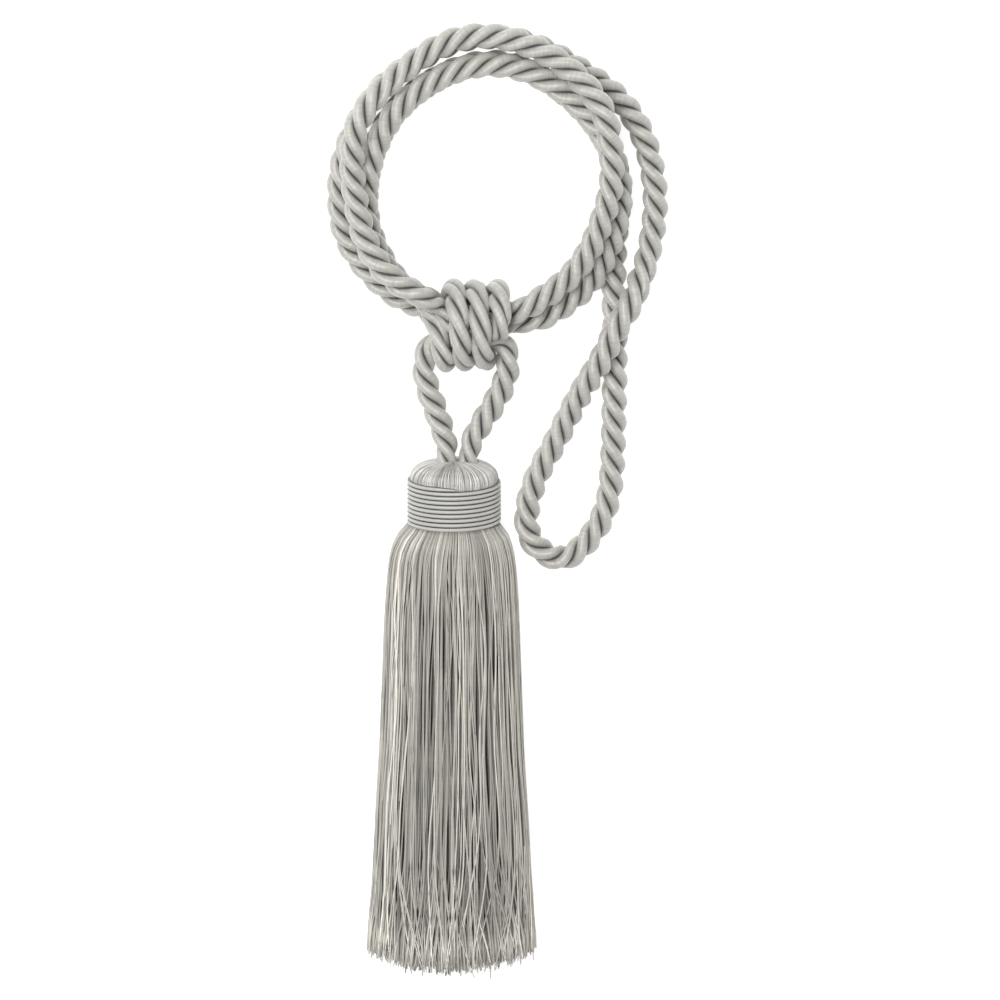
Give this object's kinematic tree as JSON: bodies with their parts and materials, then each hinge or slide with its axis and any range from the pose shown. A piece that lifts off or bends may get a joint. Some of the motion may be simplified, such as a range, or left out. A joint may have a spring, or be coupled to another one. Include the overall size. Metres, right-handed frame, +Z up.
{
  "type": "curtain tieback with tassel",
  "caption": "Curtain tieback of twisted satin cord, coiled, knotted and left with a loose loop, with a yarn tassel under a wound collar.",
  "frame": {"origin": "on the surface it lies on, under the middle of the tassel and its collar", "axes": "+Y runs along the tassel from its fringe to its head and on towards the coiled cord, +Z is up, +X is to the side where the loose loop lies"},
  "size_m": [0.1325, 0.3848, 0.0366],
  "materials": {
    "satin_cord": "satin",
    "tassel_yarn": "satin",
    "collar_gimp": "satin"
  },
  "bodies": {
    "root": {"cord": "satin_cord", "tassel": "tassel_yarn", "collar": "collar_gimp"}
  },
  "joints": []
}
